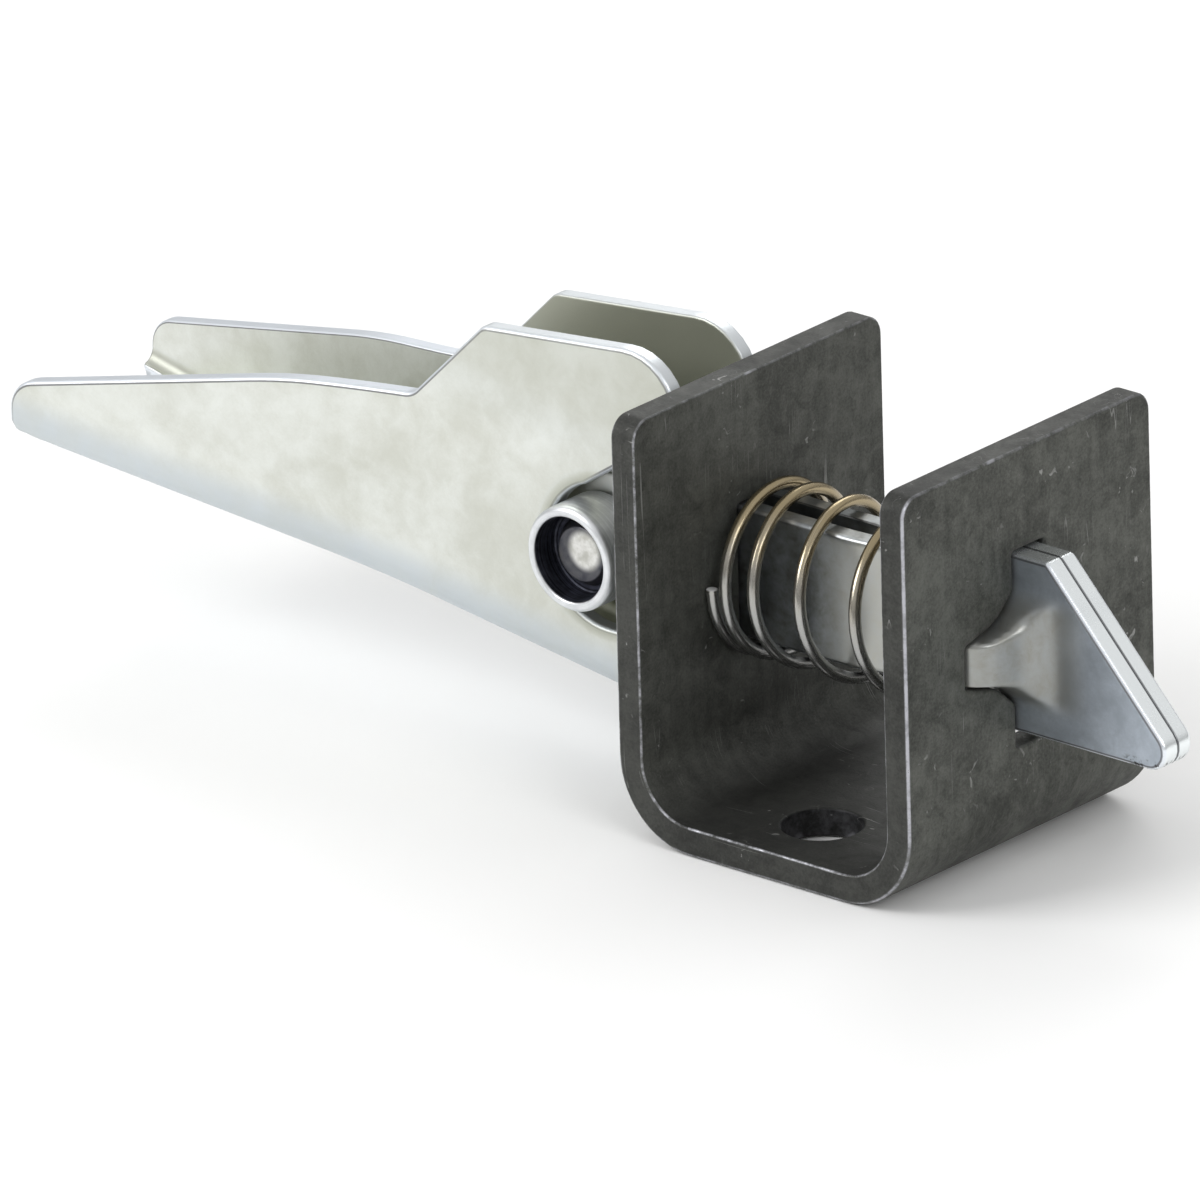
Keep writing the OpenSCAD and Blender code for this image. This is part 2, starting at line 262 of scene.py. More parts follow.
def face_triangles(flat, border):
    """Triangles of one face, between the loops that come first among its flat points."""
    ends = np.cumsum([0] + [len(loop) for loop in border]).tolist()
    spans = list(zip(ends, ends[1:]))
    ties = [(a + i, a + (i + 1) % (b - a)) for a, b in spans for i in range(b - a)]
    spots, _, tris, source, _, _ = delaunay_2d_cdt([Vector(p) for p in flat], ties, [], 0, 1e-6)
    corners = np.array([tuple(s) for s in spots])[np.array(tris)]
    (ax, ay), (bx, by) = (corners[:, 1] - corners[:, 0]).T, (corners[:, 2] - corners[:, 0]).T
    on_sheet = within(corners.mean(axis=1), [flat[a:b] for a, b in spans])
    keep = on_sheet & (np.abs(ax * by - ay * bx) > SLIVER)
    return [[source[v][0] for v in tri] for tri, k in zip(tris, keep) if k]


def folded(fold, flat, normals):
    """The points' places, their normals there, and -1 if the fold mirrors the blank."""
    tiny = 1e-4
    placed = fold(flat)
    a, b, c = ((fold(flat + tiny * axis) - placed) / tiny for axis in np.eye(3))
    turned = (normals[:, :1] * np.cross(b, c) + normals[:, 1:2] * np.cross(c, a)
              + normals[:, 2:] * np.cross(a, b))
    hand = -1 if np.median(np.sum(a * np.cross(b, c), axis=1)) < 0 else 1
    return placed, hand * unit(turned), hand


def plate(name, outline, holes, faces_at, rims, fold, step, inner):
    """A folded sheet piece. faces_at and rims give the two faces' heights and edge radii."""
    loops = [wound(finer(outline, step), 1)] + [wound(finer(h, step), -1) for h in holes]
    points, normals, edge, faces, borders = side_rings(loops, rim_profile(faces_at, rims))
    inner = np.array(inner)
    for loop in loops:
        gaps = np.linalg.norm(inner[:, None] - loop[None], axis=2)
        inner = inner[np.min(gaps, axis=1) > max(rims) + CLEAR * step]
    inner = inner[within(inner, loops)]
    for side, border in enumerate(borders):
        ids = [i for loop in border for i in loop]
        ids += range(len(points), len(points) + len(inner))
        points += [(x, y, faces_at[side]) for x, y in inner]
        normals += [(0, 0, 2 * side - 1)] * len(inner)
        edge += [0.0] * len(inner)
        turn = 1 if side else -1
        tris = face_triangles(np.array(points)[ids, :2], border)
        faces += [[ids[v] for v in tri][::turn] for tri in tris]
    flat = np.array(points)
    placed, turned, hand = folded(fold, flat, np.array(normals))
    return mesh_piece(name, placed, [face[::hand] for face in faces], turned, flat, edge)


sample = rectangle(0, 0, 9, 6, 1)
print("triangles of a rectangle with round corners:", len(face_triangles(sample, [sample])))

# %% [markdown]
# ## The bracket
#
# The bracket is a strip of hot-rolled plate, punched flat and folded into a U. It could be
# an extruded U with holes cut by Booleans, but the cuts would need cleaning up, and their
# rims rounding. As a blank it is a rectangle as long as the path down one leg, along the
# base and up the other. The front leg's opening is a cross: a tall slot for the nose and a
# necked slot across it for the two ears. The rear leg has a plain slot for the bar, and
# the base two bolt holes.

# %% Folding the bracket
BEND = 9.0                          # inside radius of the bends
MID_R = BEND + PLATE / 2            # and their radius at mid-thickness
LEG = LEG_TOP - BEND - PLATE        # flat lengths of a leg and of the base
BASE = 2 * (LEG_X - BEND - PLATE)
TURN = MID_R * math.pi / 2          # length round a bend
STRIP = 2 * LEG + 2 * TURN + BASE


def fold_bracket(p):
    """Blank (along the strip, across it, inside to outside) to the bent channel."""
    s, y, n = p.T
    s = s - STRIP / 2
    back = np.sign(s) + (s == 0)
    s = np.abs(s)
    angle = np.clip((s - BASE / 2) / MID_R, 0, math.pi / 2)
    rise = np.maximum(s - BASE / 2 - TURN, 0)
    r = MID_R + n - PLATE / 2
    x = np.minimum(s, BASE / 2) + r * np.sin(angle)
    z = BEND + PLATE - r * np.cos(angle) + rise
    return np.column_stack([back * x, y, z])


def on_leg(loop, front):
    """An outline drawn as (Y, Z) on a leg, as (along, across) on the blank."""
    y, z = np.array(loop).T
    down = LEG_TOP - z
    return np.column_stack([STRIP - down if front else down, y])


print(f"the bracket's strip is {STRIP:.1f} mm long")

# %% Bracket
SLOT_Y, SLOT_LOW, SLOT_HIGH = 3.8, 20.7, 53.4      # half the nose's slot, and its two ends
BAR_Y, BAR_Z = 5.6, 11.4                           # half the bar's slot
HOLE_R, HOLE_Y = 6.5, 16.2                         # the bolt holes
STRIP_R, SLOT_R, BAR_SLOT_R = 3.5, 0.5, 0.6        # corner radii
PLATE_RIMS = (0.45, 0.6)
arm = [(SLOT_Y, 9.4, 0.9), (8.2, 5.4, 8), (15.6, 3.6, 0.8)]    # (Y, off the axis, radius)
half_cross = [(SLOT_Y, SLOT_LOW, SLOT_R)] + [(y, AXIS_Z - h, r) for y, h, r in arm]
half_cross += [(y, AXIS_Z + h, r) for y, h, r in arm[::-1]] + [(SLOT_Y, SLOT_HIGH, SLOT_R)]
cross = rounded(half_cross + [(-y, z, r) for y, z, r in half_cross[::-1]])
bar_slot = rectangle(-BAR_Y, AXIS_Z - BAR_Z, BAR_Y, AXIS_Z + BAR_Z, BAR_SLOT_R)
strip = rectangle(0, -HALF_W, STRIP, HALF_W, STRIP_R)
openings = [on_leg(cross, True), on_leg(bar_slot, False)]
openings += [ring(STRIP / 2, y, HOLE_R) for y in (-HOLE_Y, HOLE_Y)]
bends = [s for start in (LEG, LEG + TURN + BASE) for s in np.linspace(start, start + TURN, 15)]
bracket = plate("bracket_plate", strip, openings, (0, PLATE), PLATE_RIMS, fold_bracket,
                step=1.2, inner=grid(bends, np.linspace(-HALF_W, HALF_W, 25)))
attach(bracket, "bracket")
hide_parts("bracket")

# %% [markdown]
# ## The ears of the bolt
#
# The bolt is two equal plates back to back, and each has an ear: a tongue bent out through
# 75 degrees and back again, on which the spring's last turn bears. The tongue could be a
# curve with a bevel, but it is part of the sheet, so its path is worked out as a bend whose
# angle swells and fades. Summing small steps along that angle gives the path itself.

# %% Path of the ear
PLY = 3.4                                       # each ply of the bolt
EAR_TURN, EAR_STEP = math.radians(75), 11.8     # how steep the tongue gets, how far out it goes
ROOT, RAMP, LAST, FLAT = 13.0, 1.9, 6.0, 1.0    # lengths of its bend, slope, bend back and end
TONGUE = ROOT + RAMP + LAST + FLAT
EAR_END = 25.85                                 # where the ear ends


def ease(t):
    """0 up to 0, 1 from 1 on, and smooth between."""
    t = np.clip(t, 0, 1)
    return t * t * (3 - 2 * t)


steps = np.linspace(0, TONGUE, 1500)
lean = EAR_TURN * (ease(steps / ROOT) - ease((steps - ROOT - RAMP) / LAST))
run, out = (np.cumsum(wave(lean)) * steps[1] for wave in (np.cos, np.sin))
out *= EAR_STEP / out[-1]
ROOT_X = EAR_END + run[-1]                      # where the draw starts
print(f"the ear starts at x = {ROOT_X:.1f} and steps out by {out[-1]:.1f}")

# %% [markdown]
# ## Folding a ply
#
# The tongue is not cut out but drawn, so it stays joined to the plate by a wall that
# narrows in a neck. Sculpting could show that, but not to a size. Here it is a matter of
# paths: at each height a line of metal follows the tongue as far as the neck lets it out
# and then runs straight back, until the slit that parts it from the bar. Behind the nose
# the plies spread apart, to make a fork for the pivot.

# %% Ply fold
FORK = 1.8                          # half the gap between the forked plies
FORK_X, CLOSE = -4.85, 19.0         # where the fork starts to close, and over what length
SLIT, SOFT_NECK = 0.25, 2.4         # the slit's width, and how softly a path leaves the tongue
neck = rounded([(3.4, 14, 0), (3.4, 9.0, 4), (8.0, 5.0, 8), (15.2, 3.2, 0), (15.2, 0, 0)])
slit_z = np.array([3.2, 4.3, 5.4, 6.5, 7.7, 8.9])    # heights of the slit's points off the axis


def fold_tongue(s, n):
    """(X, Y) of a point at s along the tongue from its root and n through the thickness."""
    angle = np.interp(s, steps, lean)
    return (ROOT_X - np.interp(s, steps, run) + (n - PLY / 2) * np.sin(angle),
            PLY / 2 + np.interp(s, steps, out) + (n - PLY / 2) * np.cos(angle))


def ear_paths(z):
    """For heights z off the axis: how far along the tongue a path follows it, and its length."""
    s = np.linspace(0, TONGUE, 400)
    aside = np.interp(np.abs(z), neck[::-1, 1], neck[::-1, 0])
    leaves = np.interp(aside, fold_tongue(s, PLY)[1], s, left=0)
    return leaves, leaves + np.maximum(fold_tongue(leaves, PLY / 2)[0] - EAR_END, 0)


def fold_ply(p, side):
    """Blank (X, Z, from the middle outwards) to the ply on that side."""
    x, z, n = p.T
    s = np.maximum(ROOT_X - x, 0)
    leaves = ear_paths(z - AXIS_Z)[0]
    follows = np.maximum(s + leaves - np.hypot(s - leaves, SOFT_NECK), 0) / 2
    ear_x, ear_y = fold_tongue(follows, n)
    on_ear = (s > 0) & (s < np.interp(np.abs(z - AXIS_Z), slit_z, slit_s) + SLIT / 2)
    plate_y = n + FORK * (1 - ease((x - FORK_X) / CLOSE))
    return np.column_stack([np.where(on_ear, ear_x - s + follows, x),
                            side * np.where(on_ear, ear_y, plate_y), z])


slit_s = ear_paths(slit_z)[1]
print("the slit runs at", np.round(slit_s, 1), "along the tongue")

# %% [markdown]
# ## The two plies of the bolt
#
# Seen from the side, a ply is a triangular nose with a bevel, a straight bar and a round
# end for the pivot. The plies touch along the nose, where a fine line shows between them on
# the bevel. One could be mirrored from the other by a modifier, but they are two pieces on
# the bench, so a loop makes each with its own side.

# %% Bolt plies
bolt_low, bolt_high = (np.array(c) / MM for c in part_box("latch_plate_far"))
NOSE_BACK, BEVEL_X, TIP_X = 25.15, 36.17, 63.48    # back of the nose, ends of its bevel
NOSE_LOW, NOSE_HIGH = bolt_low[2], bolt_high[2]
BAR = 11.0                                         # half the bar's height
EAR_REACH = 11.6                                   # half the height of the grid over the ear
SHANK_R = 4.5                                      # the rivet's shank
PLY_RIMS = (0.3, 0.85)
nose = [(PIVOT[0] - BAR * math.sin(a), AXIS_Z - BAR * math.cos(a), 0)
        for a in np.linspace(math.pi, 0, 25)]
nose += [(NOSE_BACK, AXIS_Z - BAR, 0.8), (NOSE_BACK, NOSE_LOW, 1.0), (TIP_X, NOSE_LOW, 3.4),
         (BEVEL_X, NOSE_HIGH, 1.4), (NOSE_BACK, NOSE_HIGH, 1.4), (NOSE_BACK, AXIS_Z + BAR, 0.8)]
high = np.concatenate([-slit_z[::-1], slit_z])
ends = ROOT_X - np.concatenate([slit_s[::-1], slit_s])
slit = np.vstack([np.column_stack([ends, high]), np.column_stack([ends - SLIT, high])[::-1]])
openings = [slit + (0, AXIS_Z), ring(PIVOT[0], PIVOT[2], SHANK_R)]
folds = grid(np.linspace(ROOT_X + 1, ROOT_X - TONGUE, 44),
             AXIS_Z + np.linspace(-EAR_REACH, EAR_REACH, 45))
folds += grid(np.linspace(FORK_X, FORK_X + CLOSE, 14), AXIS_Z + np.linspace(-BAR, BAR, 9))
plies = []
for side, word in ((1, "far"), (-1, "near")):
    ply = plate(f"bolt_ply_{word}", rounded(nose), openings, (0, PLY), PLY_RIMS,
                lambda p: fold_ply(p, side), step=0.9, inner=folds)
    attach(ply, "bolt")
    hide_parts(f"latch_plate_{word}")
    plies.append(ply)

# %% [markdown]
# ## The spring
#
# The spring is wire wound on a mandrel, with end turns that close up so that it stands
# square. A Screw modifier winds a coil too, but with one pitch throughout, so here a ring
# of points is carried along a helix whose pitch changes. Each ring stands square to the
# wire, so the wire keeps its round section, and the cut ends get a flat face with a small
# burr.

# %% Path of the wire
WIRE_R, COIL_R, TURNS = 1.0, 13.6, 7
X0, X1 = -23.7, 23.7                # the wire's ends along the bolt
CLOSING = 0.68                      # how much the end turns close up, from 0 to 1
RINGS, SIDES = TURNS * 56, 14


def wire(u):
    """The wire's centre line, for u from 0 to 1."""
    a = math.pi + 2 * math.pi * TURNS * u
    x = X0 + (X1 - X0) * (u - CLOSING * np.sin(2 * math.pi * u) / (2 * math.pi))
    return np.column_stack([x, COIL_R * np.cos(a), AXIS_Z + COIL_R * np.sin(a)])


u = np.linspace(0, 1, RINGS + 1)
centre = wire(u)
ahead = unit(wire(u + 1e-5) - wire(u - 1e-5))
radial = (centre - (0, 0, AXIS_Z)) * (0, 1, 1) / COIL_R
across = np.cross(ahead, radial)
wire_length = TURNS * 2 * math.pi * COIL_R
print(f"the wire is about {wire_length:.0f} mm long")

# %% Spring
CUT, BURR = 0.82, 0.15              # how far the cut ends narrow, and how far they stand out
END_LEAN = 0.7                      # how far the normals at the ends turn along the wire
stations = [(0, CUT, -1)] + [(i, 1.0, 0) for i in range(RINGS + 1)] + [(RINGS, CUT, 1)]
points, normals, lengths = [], [], []
for i, size, end in stations:
    cap = ahead[i] * end
    for a in np.linspace(0, 2 * np.pi, SIDES, endpoint=False):
        way = radial[i] * math.cos(a) + across[i] * math.sin(a)
        points.append(centre[i] + WIRE_R * size * way + cap * BURR)
        normals.append(cap + way * (1 - END_LEAN * abs(end)))
        lengths.append((u[i] * wire_length, WIRE_R * math.cos(a), WIRE_R * math.sin(a)))
rows = [(k * SIDES, (k + 1) * SIDES) for k in range(len(stations) - 1)]
faces = [(a + j, a + (j + 1) % SIDES, b + (j + 1) % SIDES, b + j)
         for a, b in rows for j in range(SIDES)]
faces += [tuple(range(SIDES))[::-1], tuple(range(len(points) - SIDES, len(points)))]
cut_ends = np.repeat([float(size < 1) for _, size, _ in stations], SIDES)
coil = mesh_piece("spring_coil", np.array(points), faces, unit(np.array(normals)),
                  np.array(lengths), cut_ends)
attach(coil, "bracket")
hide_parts("return_spring")
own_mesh(coil)

# %% [markdown]
# ## Folding the handle
#
# The handle is one sheet folded into a channel. Its two cheeks are parallel at the pivot,
# then flare towards the grip, and the web between them leans up towards the tip. A box
# could be pulled into that shape by hand, but its sheet would come out thick in one place
# and thin in another. The blank runs along the web in one direction and round the section
# in the other: up the near cheek, across the web and up the far cheek.

# %% Handle fold
SHEET = 3.0
HANDLE_W, TIP_W = 20.6, 37.0                    # width over the cheeks, at the pivot and the tip
HANDLE_LEN, FLARE = 113.2, 45.0                 # from the pivot back to the tip and to the flare
HEEL = np.array([22.5, -25.4])                  # the web's front end, from the pivot
TIP_Z, TIP_R = -5.4, 4.092                      # height of the web's back end, and its round
SOFT = 12.0                                     # half the length over which the flare sets in
SLOPE = math.atan((TIP_Z - HEEL[1]) / (HEEL[0] + HANDLE_LEN))
SIN, COS = math.sin(SLOPE), math.cos(SLOPE)
FLARE_X = -(HEEL[0] + FLARE) / COS
FLARE_TAN = (TIP_W - HANDLE_W) / 2 * COS / (HANDLE_LEN - FLARE)
FOLD_R = 2.0 + SHEET / 2                        # bend radius at mid-thickness
WEB_HALF = HANDLE_W / 2 - SHEET / 2 - FOLD_R    # half the flat of the web, at the pivot
UP = WEB_HALF + FOLD_R * math.pi / 2            # where the flat of the cheek starts
FLAT_Z = SHEET / 2 + FOLD_R                     # its height over the web's underside
TIP_CENTRE = np.array([-HANDLE_LEN, TIP_Z]) + TIP_R * np.array([1, (1 - SIN) / COS])


def fold_handle(p):
    """Blank (along the web, round the section, inside to outside) to the flared channel."""
    along, v, n = p.T
    q = np.abs(v)
    gone = FLARE_X - along
    setting_in = (gone + SOFT) ** 2 / (4 * SOFT)
    flare = FLARE_TAN * np.where(np.abs(gone) < SOFT, setting_in, np.maximum(gone, 0))
    angle = np.clip((q - WEB_HALF) / FOLD_R, 0, math.pi / 2)
    y = (WEB_HALF + flare) * np.minimum(q / WEB_HALF, 1) + (FOLD_R + n) * np.sin(angle)
    h = FLAT_Z - (FOLD_R + n) * np.cos(angle) + np.maximum(q - UP, 0)
    x = HEEL[0] + along * COS + h * SIN
    z = HEEL[1] - along * SIN + h * COS
    away = np.column_stack([x, z]) - TIP_CENTRE
    far = np.linalg.norm(away, axis=1)
    corner = (away[:, 0] < 0) & (away[:, 0] * SIN + away[:, 1] * COS < 0) & (far > TIP_R)
    pull = np.where(corner, TIP_R / np.maximum(far, 1e-9), 1)
    x, z = (TIP_CENTRE + away * pull[:, None]).T
    return PIVOT + np.column_stack([x, np.where(v < 0, -y, y), z])


print(f"the web leans by {math.degrees(SLOPE):.1f} degrees")

# %% [markdown]
# ## The cheek's outline
#
# The cheek comes from its side view, with the pivot at the origin: a heel in front, an open
# mouth for the bush, a shoulder that rolls on the bracket's rear leg, and the long grip. A
# traced outline would need hundreds of points. Corners, and three arcs where the mouth
# meets the bush, say the same with a few.

# %% Cheek
BUSH_R = 8.7                                    # the bush, round the pivot
MOUTH_R, MOUTH_X = 12.0, 4.0                    # the mouth's arc, and its centre's place
SHOULDER_X = 19.5                               # the shoulder's face
SETBACK = 6.0                                   # the web stops short of the cheeks' tips


def to_web(points):
    """Side view (x, z) from the pivot to (along the web, square to it)."""
    x, z = (np.array(points) - HEEL).T
    return np.column_stack([x * COS - z * SIN, x * SIN + z * COS])


def arc(x, r, angles):
    """Corners along an arc whose centre is level with the pivot."""
    return [(x + r * math.cos(a), r * math.sin(a), 0) for a in angles]


meet_x = (MOUTH_X ** 2 + BUSH_R ** 2 - MOUTH_R ** 2) / (2 * MOUTH_X)
meet_z = math.sqrt(BUSH_R ** 2 - meet_x ** 2)
meet_mouth, meet_bush = math.atan2(meet_z, meet_x - MOUTH_X), math.atan2(meet_z, meet_x)
throat = math.acos(-MOUTH_X / MOUTH_R)
cheek = [(HEEL[0], HEEL[1] + FLAT_Z / COS, 0), (HEEL[0], -MOUTH_R, 1.2)]
cheek += arc(MOUTH_X, MOUTH_R, np.linspace(1.5 * math.pi, 2 * math.pi - meet_mouth, 10))
cheek += arc(0, BUSH_R, np.linspace(2 * math.pi - meet_bush, meet_bush, 14)[1:-1])
cheek += arc(MOUTH_X, MOUTH_R, np.linspace(meet_mouth, throat, 8))
cheek += [(SHOULDER_X, 24.2, 1.2), (SHOULDER_X, 37.2, 10), (-20.4, 33.2, 3),    # the shoulder
          (-35.4, 18.4, 4), (-60.4, 16.0, HANDLE_LEN), (-HANDLE_LEN, 4.6, 5.4),    # the grip
          (-HANDLE_LEN, TIP_Z + FLAT_Z / COS, 0)]
far_cheek = to_web(rounded(cheek)) + (0, UP - FLAT_Z)
print("points of a cheek:", len(far_cheek))

# %% Handle
SHEET_RIMS = (0.5, 0.8)
WIDEST = 70                                     # more than the blank's half width
tip_x = far_cheek[-1, 0]
half_notch = [(tip_x, UP, 0), (tip_x, WEB_HALF, 0.9), (tip_x + SETBACK, WEB_HALF, 2)]
notch = rounded(half_notch + [(x, -v, r) for x, v, r in half_notch[::-1]])[1:-1]
channel = np.vstack([far_cheek, notch, far_cheek[::-1] * (1, -1)])
flare_x = FLARE_X + np.linspace(-SOFT, SOFT, 13)
bend_rows = [sign * v for v in np.linspace(WEB_HALF, UP, 7) for sign in (-1, 1)]
flat_rows = [v for v in np.linspace(-WIDEST, WIDEST, 41) if not WEB_HALF - 1 < abs(v) < UP + 1]
folds = grid([*np.linspace(tip_x, 0, 34), *flare_x], bend_rows) + grid(flare_x, flat_rows)
folds += grid(tip_x + np.linspace(1.2, SETBACK, 5), np.linspace(-UP, UP, 17))
handle = plate("handle_channel", channel, [], (-SHEET / 2, SHEET / 2), SHEET_RIMS, fold_handle,
               step=1.1, inner=folds)
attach(handle, "handle")
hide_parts("lift_handle")

# %% [markdown]
# ## Bushes and rivet
#
# A bush is turned from bar and welded into the mouth of each cheek. It is bored for the
# rivet and has a recess that hides the rivet's head, so nothing sticks out to catch. A
# cylinder with bevels would do, but a lathe makes such a piece from half its section, and
# so does the `lathe` function: the corners of the section carry the small radii that a
# turning tool leaves.

# %% Lathe
TOOL_STEP = 0.5         # about how far apart the points of a section are
CORNER_GAIN = 12        # how soon a turned corner counts as an edge


def lathe(name, profile, at, axis, steps=96):
    """A turned piece: a closed profile of (radius, distance along the axis) points."""
    profile = wound(finer(profile, TOOL_STEP), 1)
    out = unit(off_sheet(profile))
    bend = 1 - np.sum(out * np.roll(out, 1, axis=0), axis=1)
    axis = np.array(axis, float)
    side = np.array([1.0, 0, 0])
    up = np.cross(axis, side)
    n, points, normals, blank = len(profile), [], [], []
    for a in np.linspace(0, 2 * np.pi, steps, endpoint=False):
        radial = side * math.cos(a) + up * math.sin(a)
        points += [at + r * radial + h * axis for r, h in profile]
        normals += [r * radial + h * axis for r, h in out]
        blank += [(r * math.cos(a), h, r * math.sin(a)) for r, h in profile]
    rows = [(i * n, (i + 1) % steps * n) for i in range(steps)]
    faces = [(a + k, b + k, b + (k + 1) % n, a + (k + 1) % n) for a, b in rows for k in range(n)]
    edge = np.tile(np.clip(bend * CORNER_GAIN, 0, 1), steps)
    return mesh_piece(name, np.array(points), faces, np.array(normals), np.array(blank), edge)


print("points round a washer's section:", len(finer(rectangle(3, 0, 6, 1, 0.2), TOOL_STEP)))

# %% Bushes and rivet
BORE_R, RECESS_R = 4.55, 7.0
BUSH_IN, RECESS_FLOOR, BUSH_OUT = 5.5, 9.6, 14.6    # distances from the middle
HEAD_R, HEAD_IN, HEAD_OUT = 5.8, 9.75, 11.65
NEAR_AXIS = (0.02, 0.004)                           # radii of the head's last two points
bush_section = rounded([(BORE_R, BUSH_IN, 0.3), (BUSH_R, BUSH_IN, 0.4), (BUSH_R, BUSH_OUT, 1.0),
                        (RECESS_R, BUSH_OUT, 0.5), (RECESS_R, RECESS_FLOOR, 0.4),
                        (BORE_R, RECESS_FLOOR, 0.2)])
bushes = []
for side, word in ((1, "far"), (-1, "near")):
    bush = lathe(f"pivot_bush_turned_{word}", bush_section, PIVOT, (0, side, 0))
    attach(bush, "handle")
    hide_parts(f"pivot_bush_{word}")
    bushes.append(bush)
head = [(SHANK_R, HEAD_IN, 0), (HEAD_R, HEAD_IN, 0.2), (SHANK_R, HEAD_OUT, 0.4)]
head += [(r, HEAD_OUT, 0) for r in NEAR_AXIS]
rivet_section = rounded([(r, -h, c) for r, h, c in head[::-1]] + head)
rivet = lathe("pivot_rivet_headed", rivet_section, PIVOT, (0, 1, 0))
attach(rivet, "bolt")
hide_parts("pivot_rivet")

# %% [markdown]
# ## Writing materials as sums
#
# Materials could be wired by hand in the node editor, but in a script nodes are easier to
# read as arithmetic than as a list of links. The class below wraps one output socket.
# Adding, multiplying or subtracting two of them adds a Math node, and `node` adds any other
# kind: its settings first, then the values or links of its inputs.

# %% Socket arithmetic
class Socket:
    """A shader output that can be used like a number."""

    def __init__(self, tree, out=None):
        self.tree, self.out = tree, out

    def node(self, kind, settings=None, inputs=None, out=0):
        """Any node, as the socket of one of its outputs."""
        made = self.tree.nodes.new(kind)
        for key, value in (settings or {}).items():
            setattr(made, key, value)
        for key, value in (inputs or {}).items():
            if isinstance(value, Socket):
                self.tree.links.new(value.out, made.inputs[key])
            else:
                made.inputs[key].default_value = value
        return Socket(self.tree, made.outputs[out] if out is not None else None)

    def math(self, operation, *values):
        return self.node("ShaderNodeMath", {"operation": operation}, dict(enumerate(values)))

    def __add__(self, other):
        return self.math("ADD", self, other)

    def __sub__(self, other):
        return self.math("SUBTRACT", self, other)

    def __rsub__(self, other):
        return self.math("SUBTRACT", other, self)

    def __mul__(self, other):
        return self.math("MULTIPLY", self, other)

    def __pow__(self, other):
        return self.math("POWER", self, other)

    def __abs__(self):
        return self.math("ABSOLUTE", self)

    __radd__, __rmul__ = __add__, __mul__

    def larger(self, other):
        return self.math("MAXIMUM", self, other)

    def axis(self, letter):
        """One of a vector's three axes."""
        return self.node("ShaderNodeSeparateXYZ", None, {0: self}, letter)

    def ramp(self, low, high):
        """0 below low, 1 above high and smooth between; low above high turns it round."""
        return self.node("ShaderNodeMapRange", {"interpolation_type": "SMOOTHSTEP"},
                         {"Value": self, "From Min": low, "From Max": high})

    def mix(self, none, full):
        """The colour none where this is 0 and full where it is 1."""
        return self.node("ShaderNodeMix", {"data_type": "RGBA"}, {0: self, 6: none, 7: full}, 2)

    def stretch(self, x, y, z):
        return self.node("ShaderNodeVectorMath", {"operation": "MULTIPLY"}, {0: self, 1: (x, y, z)})

    def noise(self, size, detail=3.0, roughness=0.5, distortion=0.0):
        """Soft noise whose blots are about size millimetres across."""
        return self.node("ShaderNodeTexNoise", None, {
            "Vector": self, "Scale": 1 / size, "Detail": detail,
            "Roughness": roughness, "Distortion": distortion})


print("socket methods:", [name for name in vars(Socket) if not name.startswith("_")])

# %% [markdown]
# ## The first and last nodes of a material
#
# Every metal here starts from the two attributes of its mesh and ends in a bump and
# Blender's Principled shader, so helpers do both ends. A UV map could carry the textures
# too, but the blank is already the metal's own flat map, and it is in millimetres.

# %% Material helpers
def start(name):
    """A new material, its place on the blank and its edge mask."""
    material = bpy.data.materials.new(name)
    material.use_nodes = True
    material.node_tree.nodes.clear()
    empty = Socket(material.node_tree)
    blank = empty.node("ShaderNodeAttribute", {"attribute_name": "blank"}, out="Vector")
    edge = empty.node("ShaderNodeAttribute", {"attribute_name": "edge"}, out="Fac")
    return material, blank, edge


def finish(height, depth, inputs):
    """Ends a material: a bump of that depth in millimetres, and the shader."""
    bump = {"Strength": 1.0, "Distance": depth * MM, "Height": height}
    normal = height.node("ShaderNodeBump", None, bump)
    shader = height.node("ShaderNodeBsdfPrincipled", None, {**inputs, "Normal": normal})
    height.node("ShaderNodeOutputMaterial", None, {"Surface": shader}, out=None)


def dress(material, *pieces):
    """Puts the material on the pieces."""
    for piece in pieces:
        piece.data.materials.append(material)
    names = ", ".join(piece.name for piece in pieces)
    print(f"{material.name}: {len(material.node_tree.nodes)} nodes, on {names}")


def grey(value, warm=0.0):
    """A grey, yellower for warm above 0 and bluer below it."""
    return (value * (1 + 0.5 * warm), value * (1 + 0.4 * warm), value * (1 - warm), 1)


print("a warm grey:", np.round(grey(0.4, 0.1), 2))

# %% [markdown]
# ## Mill scale
#
# Hot-rolled plate comes with a skin of dark oxide. It is not one grey: broad clouds from
# cooling, fine mottling, faint streaks along the rolling direction, pale specks where scale
# has flaked off, a few scratches, and bright steel in dots along the outer edges, partly
# rubbed bare and partly a painted highlight, strongest on the front leg's near edge. A
# photographed texture would show its seams, so the marks are noises of different sizes,
# laid on the flat blank. They then run round the bends as on real plate. Masks come first:
# they say where the plate is worn, sawn and highlighted, and where painted shade darkens the
# channel's inner face and the bolt holes' walls.

# %% Where the plate is marked
SCALE_DARK, SCALE_PALE = (0.028, 0.029, 0.025, 1), (0.130, 0.134, 0.119, 1)
GLINT_FROM, GLINT_TO = STRIP - 66, STRIP - 50     # where the painted highlight on the front leg's near edge sets in
HOLE_SHADE_FADE = (46, 43)                            # squared radii of the painted shade on a bolt hole's wall
scale_steel, blank, edge = start("mill_scale")
along, across, depth = (blank.axis(letter) for letter in "XYZ")
rim = edge.ramp(0.1, 0.6) * edge.ramp(1.0, 0.85)
side_edge = abs(across).ramp(HALF_W - 3, HALF_W - 1)
dents = blank.noise(6, 1).ramp(0.64, 0.72) * 0.6
near_edge = across.ramp(3 - HALF_W, 1 - HALF_W) * depth.ramp(PLATE - 1.2, PLATE - 0.6)
# painted highlight along the front leg's near edge
corner = along.ramp(GLINT_FROM, GLINT_TO) * near_edge * 0.6
